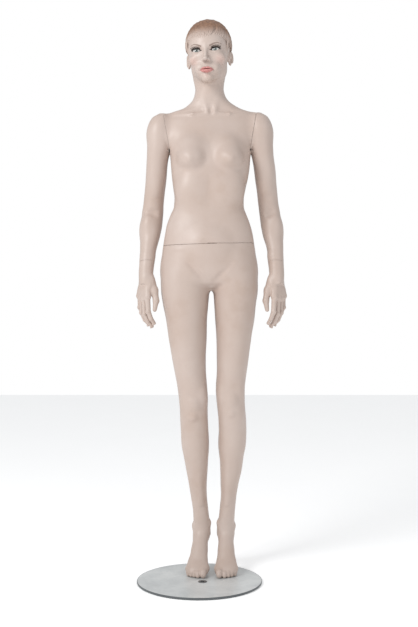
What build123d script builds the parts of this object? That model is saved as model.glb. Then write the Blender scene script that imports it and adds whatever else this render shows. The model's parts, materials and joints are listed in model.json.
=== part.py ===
"""Full body display mannequin on a round steel base, in millimetres.

The figure faces -Y, its left side is towards +X, and +Z is up. The origin is the centre of the base's
underside. The figure is a hollow laminate that comes apart at the waist, the shoulders and the wrists.
Each of those seams has a quarter-turn fitting: a T-shaped key on one piece drops through the slot of a
socket plate on the other and is turned behind it. A rod on the base goes up into the left foot.
"""

from build123d import *

import os
from math import atan2, copysign, cos, degrees, radians, sin

# Base
BASE_R = 200
PAD_T = 2
PLATE_T = 6
DECK_Z = PAD_T + PLATE_T
INSERT_X, INSERT_Y = 10, -27
INSERT_BORE_R = 6.5
INSERT_R = 9
INSERT_FLANGE_R = 14
INSERT_FLANGE_T = 1.5

# Support rod and its flange, under the left foot
ROD_R = 6
ROD_X, ROD_Y = 88, 136
ROD_TOP = 226
FLANGE_R = 30
FLANGE_T = 4
HUB_R = 11
HUB_TOP = 32
FLANGE_SCREW_CIRCLE = 22
FLANGE_SCREW_R = 2.5
FLANGE_SCREW_HEAD_R = 5.5
FLANGE_SCREW_HEAD_H = 3
FLANGE_SCREWS = 3
SET_SCREW_R = 2.5
SET_SCREW_Z = 22
HEX_KEY_R = 1.8  # socket of the flange screws
SMALL_HEX_KEY_R = 1.4  # socket of the set screw
HOLE_GAP = 0.1
PLATE_ROUNDING = 1.2
SOCKET_CLEARANCE = 0.3
SOCKET_WALL = 2
FERRULE_Z = 44

# Figure
BODY_X = 30  # the figure's mid-plane, from the base's centre
WALL = 4  # laminate thickness
SEAM = 0.6  # gap across a seam
ANKLE_Z = 140
HEAD_TURN, HEAD_LEAN = -8, -3  # degrees about +Z and about +Y
HEAD_SHIFT = 8  # to the figure's left
HEAD_PIVOT = (BODY_X, 130, 1620)
# Ellipsoids as (distance from the mid-plane, y, z), (radii)
SKULL = (0, 116, 1744), (75, 98, 90)
JAW = (0, 84, 1678), (55, 70, 64)
NOSE = (0, 20, 1683), (13, 18, 22)
EAR = (73, 122, 1698), (6, 15, 29)
BREAST = (62, 74, 1374), (56, 62, 56)
BREAST_SHIFT = 2  # of both breasts, to the figure's left
LASH_SPOT = (31, 37, 1717)
LASH_R, LASH_INNER_R, LASH_T, LASH_PITCH = 17, 11, 0.8, -14

# Level ellipses as (height, middle x, middle y, half width, half depth); middle x is from the mid-plane
HIPS = [
    (950, 6, 122, 52, 66),
    (978, 2, 121, 142, 104),
    (1010, 1, 120, 157, 108),
    (1050, 0, 116, 157, 101),
    (1095, 0, 110, 150, 90),
    (1125, 0, 108, 144, 86),
]
CHEST = [
    (1050, 0, 116, 157, 101),
    (1095, 0, 110, 150, 90),
    (1150, 0, 107, 138, 82),
    (1185, 0, 107, 127, 79),
    (1222, 0, 108, 116, 78),
    (1265, 1, 111, 118, 81),
    (1315, 2, 116, 125, 86),
    (1365, 3, 121, 131, 89),
    (1399, 3, 124, 132, 88),
    (1425, 4, 125, 149, 84),
    (1455, 4, 127, 168, 77),
    (1492, 5, 129, 164, 66),
    (1515, 7, 132, 154, 55),
    (1531, 9, 133, 132, 50),
    (1546, 9, 133, 98, 49),
]
NECK = [
    (1490, 6, 134, 92, 50),
    (1540, 7, 133, 84, 49),
    (1570, 5, 131, 60, 49),
    (1600, 2, 128, 48, 49),
    (1660, 2, 124, 47, 50),
]
# Each leg runs down into a foot that stands on its toes with the heel raised
RIGHT_LEG = [
    (1045, -78, 116, 66, 84),
    (985, -80, 119, 78, 104),
    (930, -78, 118, 78, 98),
    (850, -73, 113, 69, 86),
    (770, -67, 109, 60, 76),
    (690, -61, 106, 52, 66),
    (610, -53, 104, 49, 59),
    (560, -50, 104, 47, 57),
    (500, -48, 111, 47, 57),
    (450, -46, 117, 46, 57),
    (390, -43, 123, 40, 51),
    (310, -39, 132, 32, 41),
    (250, -33, 139, 26, 34),
    (200, -28, 143, 25, 32),
    (165, -26, 146, 25, 32),
    (146, -25, 150, 24, 34),
    (128, -26, 152, 25, 44),
    (104, -28, 146, 27, 51),
    (84, -31, 128, 29, 52),
    (62, -34, 104, 32, 47),
    (42, -37, 80, 36, 47),
    (26, -40, 57, 38, 50),
    (15, -41, 46, 36, 44),
    (8.3, -41, 44, 28, 34),
]
LEFT_LEG = [
    (1045, 80, 116, 66, 84),
    (985, 84, 119, 76, 104),
    (930, 85, 118, 75, 98),
    (850, 82, 113, 69, 86),
    (770, 78, 109, 58, 76),
    (690, 74, 106, 51, 66),
    (610, 71, 104, 48, 59),
    (560, 73, 104, 46, 57),
    (500, 78, 111, 46, 57),
    (450, 78, 117, 45, 57),
    (390, 75, 123, 40, 51),
    (310, 70, 132, 32, 41),
    (250, 65, 138, 27, 34),
    (200, 61, 141, 26, 32),
    (165, 59, 143, 26, 32),
    (146, 58, 147, 25, 34),
    (128, 58, 149, 25, 44),
    (104, 58, 145, 27, 51),
    (84, 57, 128, 29, 52),
    (62, 57, 104, 32, 47),
    (42, 56, 80, 36, 47),
    (26, 55, 57, 39, 50),
    (15, 54, 46, 37, 44),
    (8.3, 54, 44, 29, 34),
]
RIGHT_ARM = [
    (1524, -156, 131, 12, 20),
    (1508, -158, 131, 30, 36),
    (1480, -160, 130, 39, 45),
    (1455, -162, 130, 41, 49),
    (1420, -166, 131, 38, 50),
    (1370, -172, 137, 35, 47),
    (1310, -178, 146, 35, 43),
    (1250, -183, 156, 33, 39),
    (1200, -189, 162, 35, 37),
    (1160, -192, 157, 35, 37),
    (1110, -197, 142, 31, 34),
    (1070, -201, 128, 27, 30),
    (1030, -205, 113, 23, 26),
    (985, -207, 98, 20, 24),
]
LEFT_ARM = [
    (1528, 162, 131, 12, 20),
    (1512, 164, 131, 30, 36),
    (1485, 167, 130, 39, 45),
    (1460, 169, 130, 41, 49),
    (1425, 172, 131, 39, 50),
    (1370, 183, 137, 36, 47),
    (1310, 191, 146, 35, 43),
    (1250, 196, 156, 34, 39),
    (1200, 202, 162, 34, 37),
    (1160, 207, 157, 34, 37),
    (1110, 214, 142, 31, 34),
    (1070, 218, 128, 27, 30),
    (1030, 221, 113, 24, 26),
    (985, 223, 98, 21, 24),
]
# Seams, as (point, direction from the socket's side to the key's side)
SHOULDER_TILT = 10
WRIST_TILT = 18
WAIST_ROLL, WAIST_PITCH = 1.7, 2
WAIST_POINT = (BODY_X, 110, 1090)
SHOULDER_POINT = {"right": (BODY_X - 139, 130, 1454), "left": (BODY_X + 146, 130, 1460)}
SHOULDER_CUT = (260, 170, 120)  # box that takes the torso off outside a shoulder's seam
SHOULDER_CUT_UP = 15
WRIST_POINT = {"right": (BODY_X - 205, 113, 1030), "left": (BODY_X + 221, 113, 1030)}

# Hand, in its own frame: towards the palm, from forefinger to little finger, and down from the wrist seam
HAND_TURN = {"right": 34, "left": 40}  # degrees that the palm faces back from straight inwards
HAND_SPREAD = 0.07  # outward lean of the hands
PALM = [
    (-12, 0, 0, 23, 26),
    (20, 0, -1, 20, 24),
    (52, -1, -1, 17, 25),
    (78, -1, 0, 16, 33),
    (104, -4, 0, 14, 36),
    (128, -6, 0, 12, 37),
]
FINGERS = {
    "forefinger": [(-5, -28, 122), (3, -29, 168), (18, -28, 188), (34, -26, 201)],
    "middle_finger": [(-6, -9, 126), (2, -9, 174), (18, -9, 196), (36, -10, 209)],
    "ring_finger": [(-6, 10, 123), (1, 11, 168), (17, 10, 190), (33, 7, 203)],
    "little_finger": [(-5, 27, 116), (1, 28, 150), (12, 27, 167), (25, 25, 179)],
}
FINGER_R = [10, 9, 8, 6]
THUMB = [(6, -18, 58), (22, -34, 96), (29, -40, 130), (24, -40, 158)]
THUMB_R = [15, 12, 10, 7]

# Quarter-turn fittings: plate radius, plate thickness, shank radius, bar length, width and thickness,
# board thickness, screw circle radius
FITTING = {
    "waist": (45, 3, 8, 44, 15, 5, 18, 35),
    "shoulder": (27, 2.5, 5, 26, 9, 4, 15, 20.5),
    "wrist": (15, 2, 3, 13, 5.5, 3, 12, 11),
}
# Half sizes of the oval boards on the socket's side and on the key's side
BOARD = {"waist": ((143, 83), (138, 80)), "shoulder": ((29, 37), (29, 37)), "wrist": ((17, 19), (17, 18))}
BAR_GAP = 0.5
BAR_SIDE_GAP = 0.8
PLATE_GAP = 0.3
POCKET_GAP = 1
SCREWS_PER_PLATE = 4
SCREW_R = 1.4
SCREW_HEAD_R = 2.7
SCREW_L = 8
FAR = 2400  # longer than the figure

parts = {}


def level_loft(stations, inset=0, shift_x=BODY_X):
    """A smooth solid through level ellipses, taken in by inset all round."""
    ordered = sorted(stations)
    low, high = ordered[0][0] + inset, ordered[-1][0] - inset
    rings = []
    for z, x, y, half_x, half_y in ordered:
        ring = Ellipse(max(half_x - inset, 3), max(half_y - inset, 3))
        rings.append(Pos(x + shift_x, y, min(max(z, low), high)) * ring)
    return loft(rings)


def ellipsoid(shape, side=1, inset=0):
    """An ellipsoid from its middle and radii, on one side of the mid-plane."""
    (x, y, z), radii = shape
    return Pos(BODY_X + side * x, y, z) * scale(Sphere(1), by=tuple(r - inset for r in radii))


def half_space(plane, side, gap=SEAM / 2):
    """Everything on one side of a plane, starting at gap from it."""
    return plane * Pos(0, 0, side * (FAR / 2 + gap)) * Box(FAR, FAR, FAR)


def turned_head(shape):
    """Turns a piece of the head as the figure holds it."""
    x, y, z = HEAD_PIVOT
    return Pos(x + HEAD_SHIFT, y, z) * Rot(0, HEAD_LEAN, HEAD_TURN) * Pos(-x, -y, -z) * shape


def head(inset=0):
    """Skull, jaw, nose and ears, with the moulded hair in the skull's radius."""
    shape = ellipsoid(SKULL, inset=inset) + ellipsoid(JAW, inset=inset)
    if not inset:
        shape += ellipsoid(NOSE)
        shape += [ellipsoid(EAR, side) for side in (-1, 1)]
    return turned_head(shape)


def upper_body(inset=0):
    shape = level_loft(CHEST, inset) + level_loft(NECK, inset) + head(inset)
    for side in (-1, 1):
        shape += Pos(BREAST_SHIFT, 0, 0) * ellipsoid(BREAST, side, inset)
    return shape


def lower_body():
    """Hips, legs and feet as one moulding, and its hollow; the feet are cast solid up to the ankles."""
    outside = level_loft(HIPS) + level_loft(RIGHT_LEG) + level_loft(LEFT_LEG)
    hollow_legs = [[ring for ring in leg if ring[0] > ANKLE_Z] for leg in (RIGHT_LEG, LEFT_LEG)]
    inside = level_loft(HIPS, WALL) + level_loft(hollow_legs[0], WALL) + level_loft(hollow_legs[1], WALL)
    return outside, inside


def hand_frame(side):
    """Origin at the wrist seam, then the ways to the palm, to the little finger and down."""
    turn = radians(HAND_TURN[side])
    inward = 1 if side == "right" else -1
    palm_way = (inward * cos(turn), sin(turn), 0)
    finger_way = (-inward * sin(turn), cos(turn), 0)
    down = Vector(-inward * HAND_SPREAD, -0.16, -1)
    return [Vector(*WRIST_POINT[side]), Vector(*palm_way), Vector(*finger_way), down]


def hand_point(side, point):
    origin, palm_way, finger_way, down = hand_frame(side)
    return origin + palm_way * point[0] + finger_way * point[1] + down * point[2]


def digit(side, joints, radii):
    """A finger as balls at the joints with tapered bones between them."""
    points = [hand_point(side, joint) for joint in joints]
    shape = Pos(*points[0]) * Sphere(radii[0])
    for start, end, r_start, r_end in zip(points, points[1:], radii, radii[1:]):
        bone = end - start
        frame = Plane(origin=start, z_dir=bone)
        shape += frame * Pos(0, 0, bone.length / 2) * Cone(r_start, r_end, bone.length)
        shape += Pos(*end) * Sphere(r_end)
    return shape


def hand(side):
    _, palm_way, _, _ = hand_frame(side)
    angle = degrees(atan2(palm_way.Y, palm_way.X))
    angle = angle - 180 if angle > 90 else angle
    rings = []
    for down, palm, across, half_palm, half_across in PALM:
        middle = hand_point(side, (palm, across, down))
        rings.append(Pos(*middle) * Rot(0, 0, angle) * Ellipse(half_palm, half_across))
    shape = loft(list(reversed(rings))) & half_space(wrist_plane(side), 1)
    for joints in FINGERS.values():
        shape += digit(side, joints, FINGER_R)
    return shape + digit(side, THUMB, THUMB_R)


def seam_plane(point, way, across=(0, 1, 0)):
    return Plane(origin=point, x_dir=across, z_dir=way)


def shoulder_plane(side):
    tilt = radians(SHOULDER_TILT)
    out = -1 if side == "right" else 1
    return seam_plane(SHOULDER_POINT[side], (out * cos(tilt), 0, -sin(tilt)))


def wrist_plane(side):
    tilt = radians(WRIST_TILT)
    way = Vector(0, -sin(tilt), -cos(tilt))
    return seam_plane(WRIST_POINT[side], way, (1, 0, 0))


def waist_plane():
    roll, pitch = radians(WAIST_ROLL), radians(WAIST_PITCH)
    way = Vector(-sin(roll), -sin(pitch), cos(roll))
    return seam_plane(WAIST_POINT, way, (1, 0, 0))


def screw_frames(plane, circle_r, side):
    """Where the screws of a plate go, with +Z out of the board they are driven into."""
    frames = []
    for index in range(SCREWS_PER_PLATE):
        angle = 45 + index * 360 / SCREWS_PER_PLATE
        place = plane * Rot(0, 0, angle) * Pos(circle_r, 0, side * SEAM / 2)
        frames.append(place if side < 0 else place * Rot(180, 0, 0))
    return frames


def screw(gap=0.0):
    """A countersunk wood screw below its own origin, or with a gap the hole it goes in."""
    head_h = SCREW_HEAD_R - SCREW_R
    cone = Pos(0, 0, -head_h / 2) * Cone(SCREW_R + gap, SCREW_HEAD_R + gap, head_h)
    shank = Pos(0, 0, -SCREW_L / 2) * Cylinder(SCREW_R + gap, SCREW_L)
    if gap:
        return cone + shank
    return cone + shank - Box(3.2, 0.7, 1) - Box(0.7, 3.2, 1)


def fitting(place, kind, plane):
    """Adds the boards, plates, key and screws of one quarter-turn fitting to parts."""
    plate_r, plate_t, shank_r, bar_l, bar_w, bar_t, board_t, circle_r = FITTING[kind]
    face = SEAM / 2
    bar_top = face + plate_t + BAR_GAP
    pocket_depth = bar_top + bar_t + BAR_GAP
    for side, half_sizes, name in ((-1, BOARD[kind][0], "socket"), (1, BOARD[kind][1], "key")):
        board = extrude(Ellipse(*half_sizes), board_t / 2, both=True)
        board = plane * Pos(0, 0, side * (face + board_t / 2)) * board
        board -= plane * Pos(0, 0, side * face) * Cylinder(plate_r + PLATE_GAP, 2 * plate_t)
        if side < 0:
            pocket = Cylinder(bar_l / 2 + POCKET_GAP, pocket_depth - face)
            board -= plane * Pos(0, 0, -(face + pocket_depth) / 2) * pocket
        screws = [frame * screw() for frame in screw_frames(plane, circle_r, side)]
        holes = [frame * screw(HOLE_GAP) for frame in screw_frames(plane, circle_r, side)]
        board -= holes

        plate = plane * Pos(0, 0, side * (face + plate_t / 2)) * Cylinder(plate_r, plate_t)
        plate -= holes
        if side < 0:
            slot = Box(bar_w + 2 * BAR_SIDE_GAP, bar_l + 2 * BAR_SIDE_GAP, 4 * plate_t)
            slot += Cylinder(shank_r + BAR_GAP, 4 * plate_t)
            plate -= plane * Pos(0, 0, -face - plate_t / 2) * slot
        else:
            shank_l = bar_top + bar_t + face
            key = Pos(0, 0, face - shank_l / 2) * Cylinder(shank_r, shank_l)
            bar = Pos(0, 0, -(bar_top + bar_t / 2)) * Box(bar_l, bar_w, bar_t)
            round_bar = Pos(0, 0, -(bar_top + bar_t / 2)) * Cylinder(bar_l / 2, bar_t)
            plate += plane * (key + (bar & round_bar))
        parts[f"{place}_{name}_board"] = board
        parts[f"{place}_{name}_plate"] = plate
        parts[f"{place}_{name}_screws"] = Compound(children=screws)


def upper_pieces():
    """Torso with head, both arms and both hands."""
    torso = (upper_body() & half_space(waist_plane(), 1)) - upper_body(WALL)
    for side, stations in (("right", RIGHT_ARM), ("left", LEFT_ARM)):
        shoulder, wrist = shoulder_plane(side), wrist_plane(side)
        up = SHOULDER_CUT_UP * copysign(1, shoulder.y_dir.Z)
        torso -= shoulder * Pos(0, up, (SHOULDER_CUT[2] - SEAM) / 2) * Box(*SHOULDER_CUT)
        arm = level_loft(stations) & half_space(shoulder, 1) & half_space(wrist, -1)
        parts[f"{side}_arm_shell"] = arm - level_loft(stations, WALL)
        board_t = FITTING["wrist"][6]
        pocket = Cylinder(BOARD["wrist"][1][1] + BAR_GAP, board_t + 2 * SEAM)
        pocket = wrist * Pos(0, 0, board_t / 2) * pocket
        parts[f"{side}_hand_casting"] = hand(side) - pocket
        fitting(f"{side}_shoulder", "shoulder", shoulder)
        fitting(f"{side}_wrist", "wrist", wrist)
    parts["torso_head_shell"] = torso


def flange_screw(gap=0.0):
    """A countersunk screw up through the plate into the flange, or with a gap the hole it goes in."""
    length = FLANGE_T + PLATE_T
    cone_r, shank_r = FLANGE_SCREW_HEAD_R + gap, FLANGE_SCREW_R + gap
    shape = Pos(0, 0, PAD_T + length / 2) * Cylinder(shank_r, length)
    shape += Pos(0, 0, PAD_T + FLANGE_SCREW_HEAD_H / 2) * Cone(cone_r, shank_r, FLANGE_SCREW_HEAD_H)
    if gap:
        return shape
    return shape - Pos(0, 0, PAD_T) * extrude(RegularPolygon(HEX_KEY_R, 6), FLANGE_SCREW_HEAD_H)


def stand_pieces():
    """The base, the rod with its flange, and the screws that hold them."""
    pad = Pos(0, 0, PAD_T / 2) * Cylinder(BASE_R - 4, PAD_T)
    plate = Pos(0, 0, PAD_T + PLATE_T / 2) * Cylinder(BASE_R, PLATE_T)
    plate = fillet(plate.edges().group_by(Axis.Z)[-1], PLATE_ROUNDING)
    insert_spot = Pos(INSERT_X, INSERT_Y, 0)
    insert_hole = insert_spot * Pos(0, 0, DECK_Z / 2) * Cylinder(INSERT_R + HOLE_GAP, DECK_Z)
    insert = Pos(0, 0, DECK_Z / 2) * Cylinder(INSERT_R, DECK_Z)
    insert += Pos(0, 0, DECK_Z + INSERT_FLANGE_T / 2) * Cylinder(INSERT_FLANGE_R, INSERT_FLANGE_T)
    insert -= Cylinder(INSERT_BORE_R, 4 * DECK_Z)

    rod_axis = Pos(ROD_X, ROD_Y, 0)
    flange = Pos(0, 0, DECK_Z + FLANGE_T / 2) * Cylinder(FLANGE_R, FLANGE_T)
    flange += Pos(0, 0, (DECK_Z + HUB_TOP) / 2) * Cylinder(HUB_R, HUB_TOP - DECK_Z)
    flange = chamfer(flange.edges().group_by(Axis.Z)[-1], 1)
    flange -= Pos(0, 0, HUB_TOP) * Cylinder(ROD_R + 0.05, 2 * (HUB_TOP - DECK_Z))
    screws, holes = [], []
    for index in range(FLANGE_SCREWS):
        spot = Rot(0, 0, 90 + index * 360 / FLANGE_SCREWS) * Pos(FLANGE_SCREW_CIRCLE, 0, 0)
        screws.append(spot * flange_screw())
        holes.append(spot * flange_screw(HOLE_GAP))
    set_spot = Pos(0, 0, SET_SCREW_Z) * Rot(-90, 0, 0)
    set_hole = Cylinder(SET_SCREW_R + HOLE_GAP, 2 * (HUB_R - ROD_R - HOLE_GAP))
    set_hole = set_spot * Pos(0, 0, HUB_R) * set_hole
    set_screw = Pos(0, 0, (ROD_R + HUB_R) / 2 + 3 * HOLE_GAP) * Cylinder(SET_SCREW_R, HUB_R - ROD_R)
    set_screw -= Pos(0, 0, HUB_R - 1.5) * extrude(RegularPolygon(SMALL_HEX_KEY_R, 6), 4)

    parts["base_pad"] = pad - insert_hole
    parts["base_plate"] = plate - insert_hole - [rod_axis * hole for hole in holes]
    parts["spare_rod_insert"] = insert_spot * insert
    parts["rod_flange"] = rod_axis * (flange - holes - set_hole)
    parts["flange_screws"] = Compound(children=[rod_axis * one for one in screws])
    parts["rod_set_screw"] = rod_axis * set_spot * set_screw
    rod = Pos(0, 0, (DECK_Z + ROD_TOP) / 2) * Cylinder(ROD_R, ROD_TOP - DECK_Z)
    parts["support_rod"] = rod_axis * chamfer(rod.edges().group_by(Axis.Z)[-1], 1.5)


def lower_pieces():
    """Hips and legs, with the rod's socket in the left foot, and the waist fitting."""
    waist = waist_plane()
    outside, inside = lower_body()
    rod_axis = Pos(ROD_X, ROD_Y, 0)
    bore_r = ROD_R + SOCKET_CLEARANCE
    tube_r = bore_r + SOCKET_WALL
    bore_top = ROD_TOP + SOCKET_CLEARANCE
    tube_top = bore_top + SOCKET_WALL
    channel = Cylinder(tube_r + HOLE_GAP, tube_top - DECK_Z + 2 * HOLE_GAP)
    channel = rod_axis * Pos(0, 0, (DECK_Z + tube_top) / 2) * channel
    parts["hips_legs_shell"] = (outside & half_space(waist, -1)) - inside - channel
    tube = Pos(0, 0, (FERRULE_Z + tube_top) / 2) * Cylinder(tube_r, tube_top - FERRULE_Z)
    tube -= Pos(0, 0, (FERRULE_Z + bore_top) / 2) * Cylinder(bore_r, bore_top - FERRULE_Z)
    parts["foot_socket_tube"] = rod_axis * tube
    fitting("waist", "waist", waist)


def eyelashes(side):
    """A strip of lashes that fans out along the upper lid."""
    fan = Cylinder(LASH_R, LASH_T) - Cylinder(LASH_INNER_R, 2 * LASH_T)
    fan -= Pos(0, LASH_R + 4, 0) * Box(4 * LASH_R, 2 * (LASH_R - 2), 4)
    x, y, z = LASH_SPOT
    strip = Pos(BODY_X + side * x, y, z) * Rot(LASH_PITCH, 0, 0) * fan
    return turned_head(strip) - head()


os.makedirs("parts", exist_ok=True)
stand_pieces()
upper_pieces()
lower_pieces()
for side_name, side_sign in (("right", -1), ("left", 1)):
    parts[f"{side_name}_eyelashes"] = eyelashes(side_sign)

for name, shape in parts.items():
    export_step(shape, f"parts/{name}.step")
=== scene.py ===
"""Full body display mannequin: laminate figure, painted head, steel base, studio floor and camera.

Shapes are worked out in millimetres in the frame of the CAD model and divided by 1000 as they are meshed.
The figure is one implicit surface: level sections for trunk and limbs, blended with ellipsoids and bones.
"""

import json
import math

import bmesh
import bpy
import numpy as np
import openvdb
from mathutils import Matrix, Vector


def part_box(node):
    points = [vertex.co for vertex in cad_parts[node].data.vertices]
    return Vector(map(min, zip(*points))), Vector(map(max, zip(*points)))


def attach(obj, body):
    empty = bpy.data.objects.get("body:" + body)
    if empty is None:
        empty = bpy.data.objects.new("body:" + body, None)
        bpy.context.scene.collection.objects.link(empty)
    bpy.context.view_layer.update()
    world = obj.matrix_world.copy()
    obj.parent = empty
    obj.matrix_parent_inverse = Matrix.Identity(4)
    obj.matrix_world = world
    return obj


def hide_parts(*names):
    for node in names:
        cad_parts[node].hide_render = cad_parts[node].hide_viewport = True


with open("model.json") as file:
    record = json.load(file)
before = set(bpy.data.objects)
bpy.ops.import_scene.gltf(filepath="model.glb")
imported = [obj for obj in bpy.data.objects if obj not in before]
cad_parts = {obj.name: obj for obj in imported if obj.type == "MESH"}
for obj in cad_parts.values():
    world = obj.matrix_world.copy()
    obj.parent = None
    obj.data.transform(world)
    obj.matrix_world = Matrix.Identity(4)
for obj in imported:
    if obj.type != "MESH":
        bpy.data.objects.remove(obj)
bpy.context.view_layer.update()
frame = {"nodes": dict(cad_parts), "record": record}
MM = 0.001
SEAM_GAP = 0.3  # from a joint's plane to each piece, in millimetres
LAMINATE = 4.0  # thickness of the walls shown at a seam
RECESS = 5.0  # depth of a seam's end inside its wall
MID_X = 30.0  # the figure's mid-plane
DECK = 1000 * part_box("base_plate")[1][2]
NECK_Z = 1585  # where the finer mesh of the head takes over
ANKLE_Z = 215  # where the finer meshes of the feet take over


# ---------------------------------------------------------------- numbers about the figure
# level sections: (z, middle x from the mid-plane, middle y, half width, depth in front, depth behind,
# squareness)
TRUNK = [
    (944, 4, 125, 50, 46, 56, 2.0),
    (958, 3, 122, 122, 84, 92, 2.1),
    (978, 2, 121, 146, 98, 102, 2.2),
    (1005, 1, 120, 156, 104, 108, 2.3),
    (1035, 0, 118, 157, 103, 105, 2.3),
    (1065, 0, 114, 154, 98, 98, 2.3),
    (1095, 0, 110, 150, 92, 90, 2.3),
    (1125, 0, 108, 145, 87, 83, 2.3),
    (1155, -1, 107, 138, 82, 78, 2.3),
    (1185, -1, 107, 127, 78, 76, 2.3),
    (1215, 0, 108, 116, 76, 75, 2.3),
    (1240, 1, 110, 115, 77, 77, 2.4),
    (1275, 2, 114, 120, 82, 82, 2.5),
    (1315, 4, 119, 127, 86, 86, 2.5),
    (1350, 5, 123, 131, 88, 88, 2.5),
    (1385, 5, 126, 134, 86, 88, 2.5),
    (1415, 5, 128, 142, 80, 86, 2.4),
    (1445, 5, 130, 155, 72, 80, 2.3),
    (1475, 5, 132, 164, 62, 70, 2.2),
    (1500, 7, 134, 163, 56, 62, 2.1),
    (1517, 8, 135, 154, 51, 54, 2.0),
    (1530, 10, 135, 141, 48, 50, 2.0),
    (1544, 10, 135, 100, 47, 50, 2.0),
    (1556, 8, 134, 79, 46, 51, 2.0),
    (1571, 5, 132, 61, 46, 52, 2.0),
    (1590, 3, 129, 51, 46, 51, 2.0),
    (1612, 2, 127, 47, 46, 51, 2.0),
    (1635, 1, 124, 48, 46, 54, 2.0),
    (1665, 0, 122, 48, 46, 56, 2.0),
]
RIGHT_LEG = [
    (1060, -76, 118, 62, 80, 84, 2.0),
    (1020, -80, 120, 75, 92, 96, 2.1),
    (985, -81, 119, 79, 97, 103, 2.2),
    (940, -79, 116, 80, 94, 104, 2.2),
    (890, -77, 113, 75, 88, 96, 2.2),
    (840, -74, 111, 68, 83, 87, 2.1),
    (780, -70, 109, 63, 76, 78, 2.1),
    (720, -65, 107, 55, 70, 68, 2.1),
    (660, -59, 105, 50, 64, 60, 2.0),
    (610, -54, 103, 49, 58, 56, 2.1),
    (575, -51, 102, 48, 55, 52, 2.2),
    (540, -50, 104, 46, 56, 51, 2.2),
    (505, -49, 109, 46, 54, 55, 2.1),
    (465, -47, 115, 46, 52, 61, 2.0),
    (425, -46, 119, 45, 49, 62, 2.0),
    (385, -43, 123, 41, 46, 56, 2.0),
    (340, -40, 129, 36, 42, 46, 2.0),
    (290, -37, 135, 30, 38, 36, 2.0),
    (245, -33, 140, 27, 34, 30, 2.0),
    (205, -28, 143, 26, 31, 28, 2.0),
    (170, -25, 146, 27, 29, 30, 2.0),
    (145, -24, 150, 28, 28, 34, 2.0),
    (122, -24, 154, 25, 24, 34, 2.0),
]
LEFT_LEG = [
    (1060, 78, 118, 62, 80, 84, 2.0),
    (1020, 83, 120, 74, 92, 96, 2.1),
    (985, 87, 119, 75, 97, 103, 2.2),
    (940, 89, 116, 74, 94, 104, 2.2),
    (890, 87, 113, 69, 88, 96, 2.2),
    (840, 86, 111, 65, 83, 87, 2.1),
    (780, 82, 109, 57, 76, 78, 2.1),
    (720, 77, 107, 51, 70, 68, 2.1),
    (660, 74, 105, 48, 64, 60, 2.0),
    (610, 71, 103, 48, 58, 56, 2.1),
    (575, 72, 102, 47, 55, 52, 2.2),
    (540, 75, 104, 46, 56, 51, 2.2),
    (505, 78, 109, 46, 54, 55, 2.1),
    (465, 79, 115, 46, 52, 61, 2.0),
    (425, 78, 119, 45, 49, 62, 2.0),
    (385, 76, 123, 40, 46, 56, 2.0),
    (340, 74, 129, 36, 42, 46, 2.0),
    (290, 69, 135, 30, 38, 36, 2.0),
    (245, 66, 139, 26, 34, 30, 2.0),
    (205, 62, 142, 26, 31, 28, 2.0),
    (170, 59, 145, 27, 29, 30, 2.0),
    (145, 57, 149, 28, 28, 34, 2.0),
    (122, 56, 153, 25, 24, 34, 2.0),
]
RIGHT_ARM = [
    (1527, -155, 131, 14, 20, 20, 2.0),
    (1513, -158, 131, 31, 34, 34, 2.1),
    (1485, -160, 131, 39, 43, 43, 2.1),
    (1455, -162, 131, 42, 46, 47, 2.2),
    (1420, -165, 132, 41, 48, 48, 2.2),
    (1375, -172, 137, 36, 45, 45, 2.1),
    (1330, -176, 143, 34, 41, 41, 2.1),
    (1280, -181, 151, 34, 38, 38, 2.0),
    (1235, -186, 158, 34, 36, 36, 2.0),
    (1195, -190, 160, 36, 35, 37, 2.1),
    (1160, -193, 155, 36, 37, 36, 2.1),
    (1120, -197, 144, 33, 35, 34, 2.0),
    (1080, -202, 130, 28, 31, 30, 2.0),
    (1045, -205, 118, 24, 27, 26, 2.0),
    (1015, -208, 108, 22, 25, 24, 2.0),
    (985, -210, 98, 20, 26, 26, 2.0),
    (960, -212, 92, 16, 22, 22, 2.0),
]
LEFT_ARM = [
    (1530, 163, 131, 14, 20, 20, 2.0),
    (1517, 165, 131, 31, 34, 34, 2.1),
    (1490, 167, 131, 39, 43, 43, 2.1),
    (1460, 169, 131, 42, 46, 47, 2.2),
    (1425, 173, 132, 41, 48, 48, 2.2),
    (1375, 182, 137, 36, 45, 45, 2.1),
    (1330, 189, 143, 35, 41, 41, 2.1),
    (1280, 195, 151, 34, 38, 38, 2.0),
    (1235, 200, 158, 34, 36, 36, 2.0),
    (1195, 206, 160, 35, 35, 37, 2.1),
    (1160, 210, 155, 35, 37, 36, 2.1),
    (1120, 215, 144, 33, 35, 34, 2.0),
    (1080, 221, 130, 28, 31, 30, 2.0),
    (1045, 223, 118, 25, 27, 26, 2.0),
    (1015, 225, 108, 23, 25, 24, 2.0),
    (985, 227, 98, 21, 26, 26, 2.0),
    (960, 229, 92, 16, 22, 22, 2.0),
]
JOINTS = {joint["name"]: joint for joint in frame["record"]["behaviour"]["joints"]}


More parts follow.
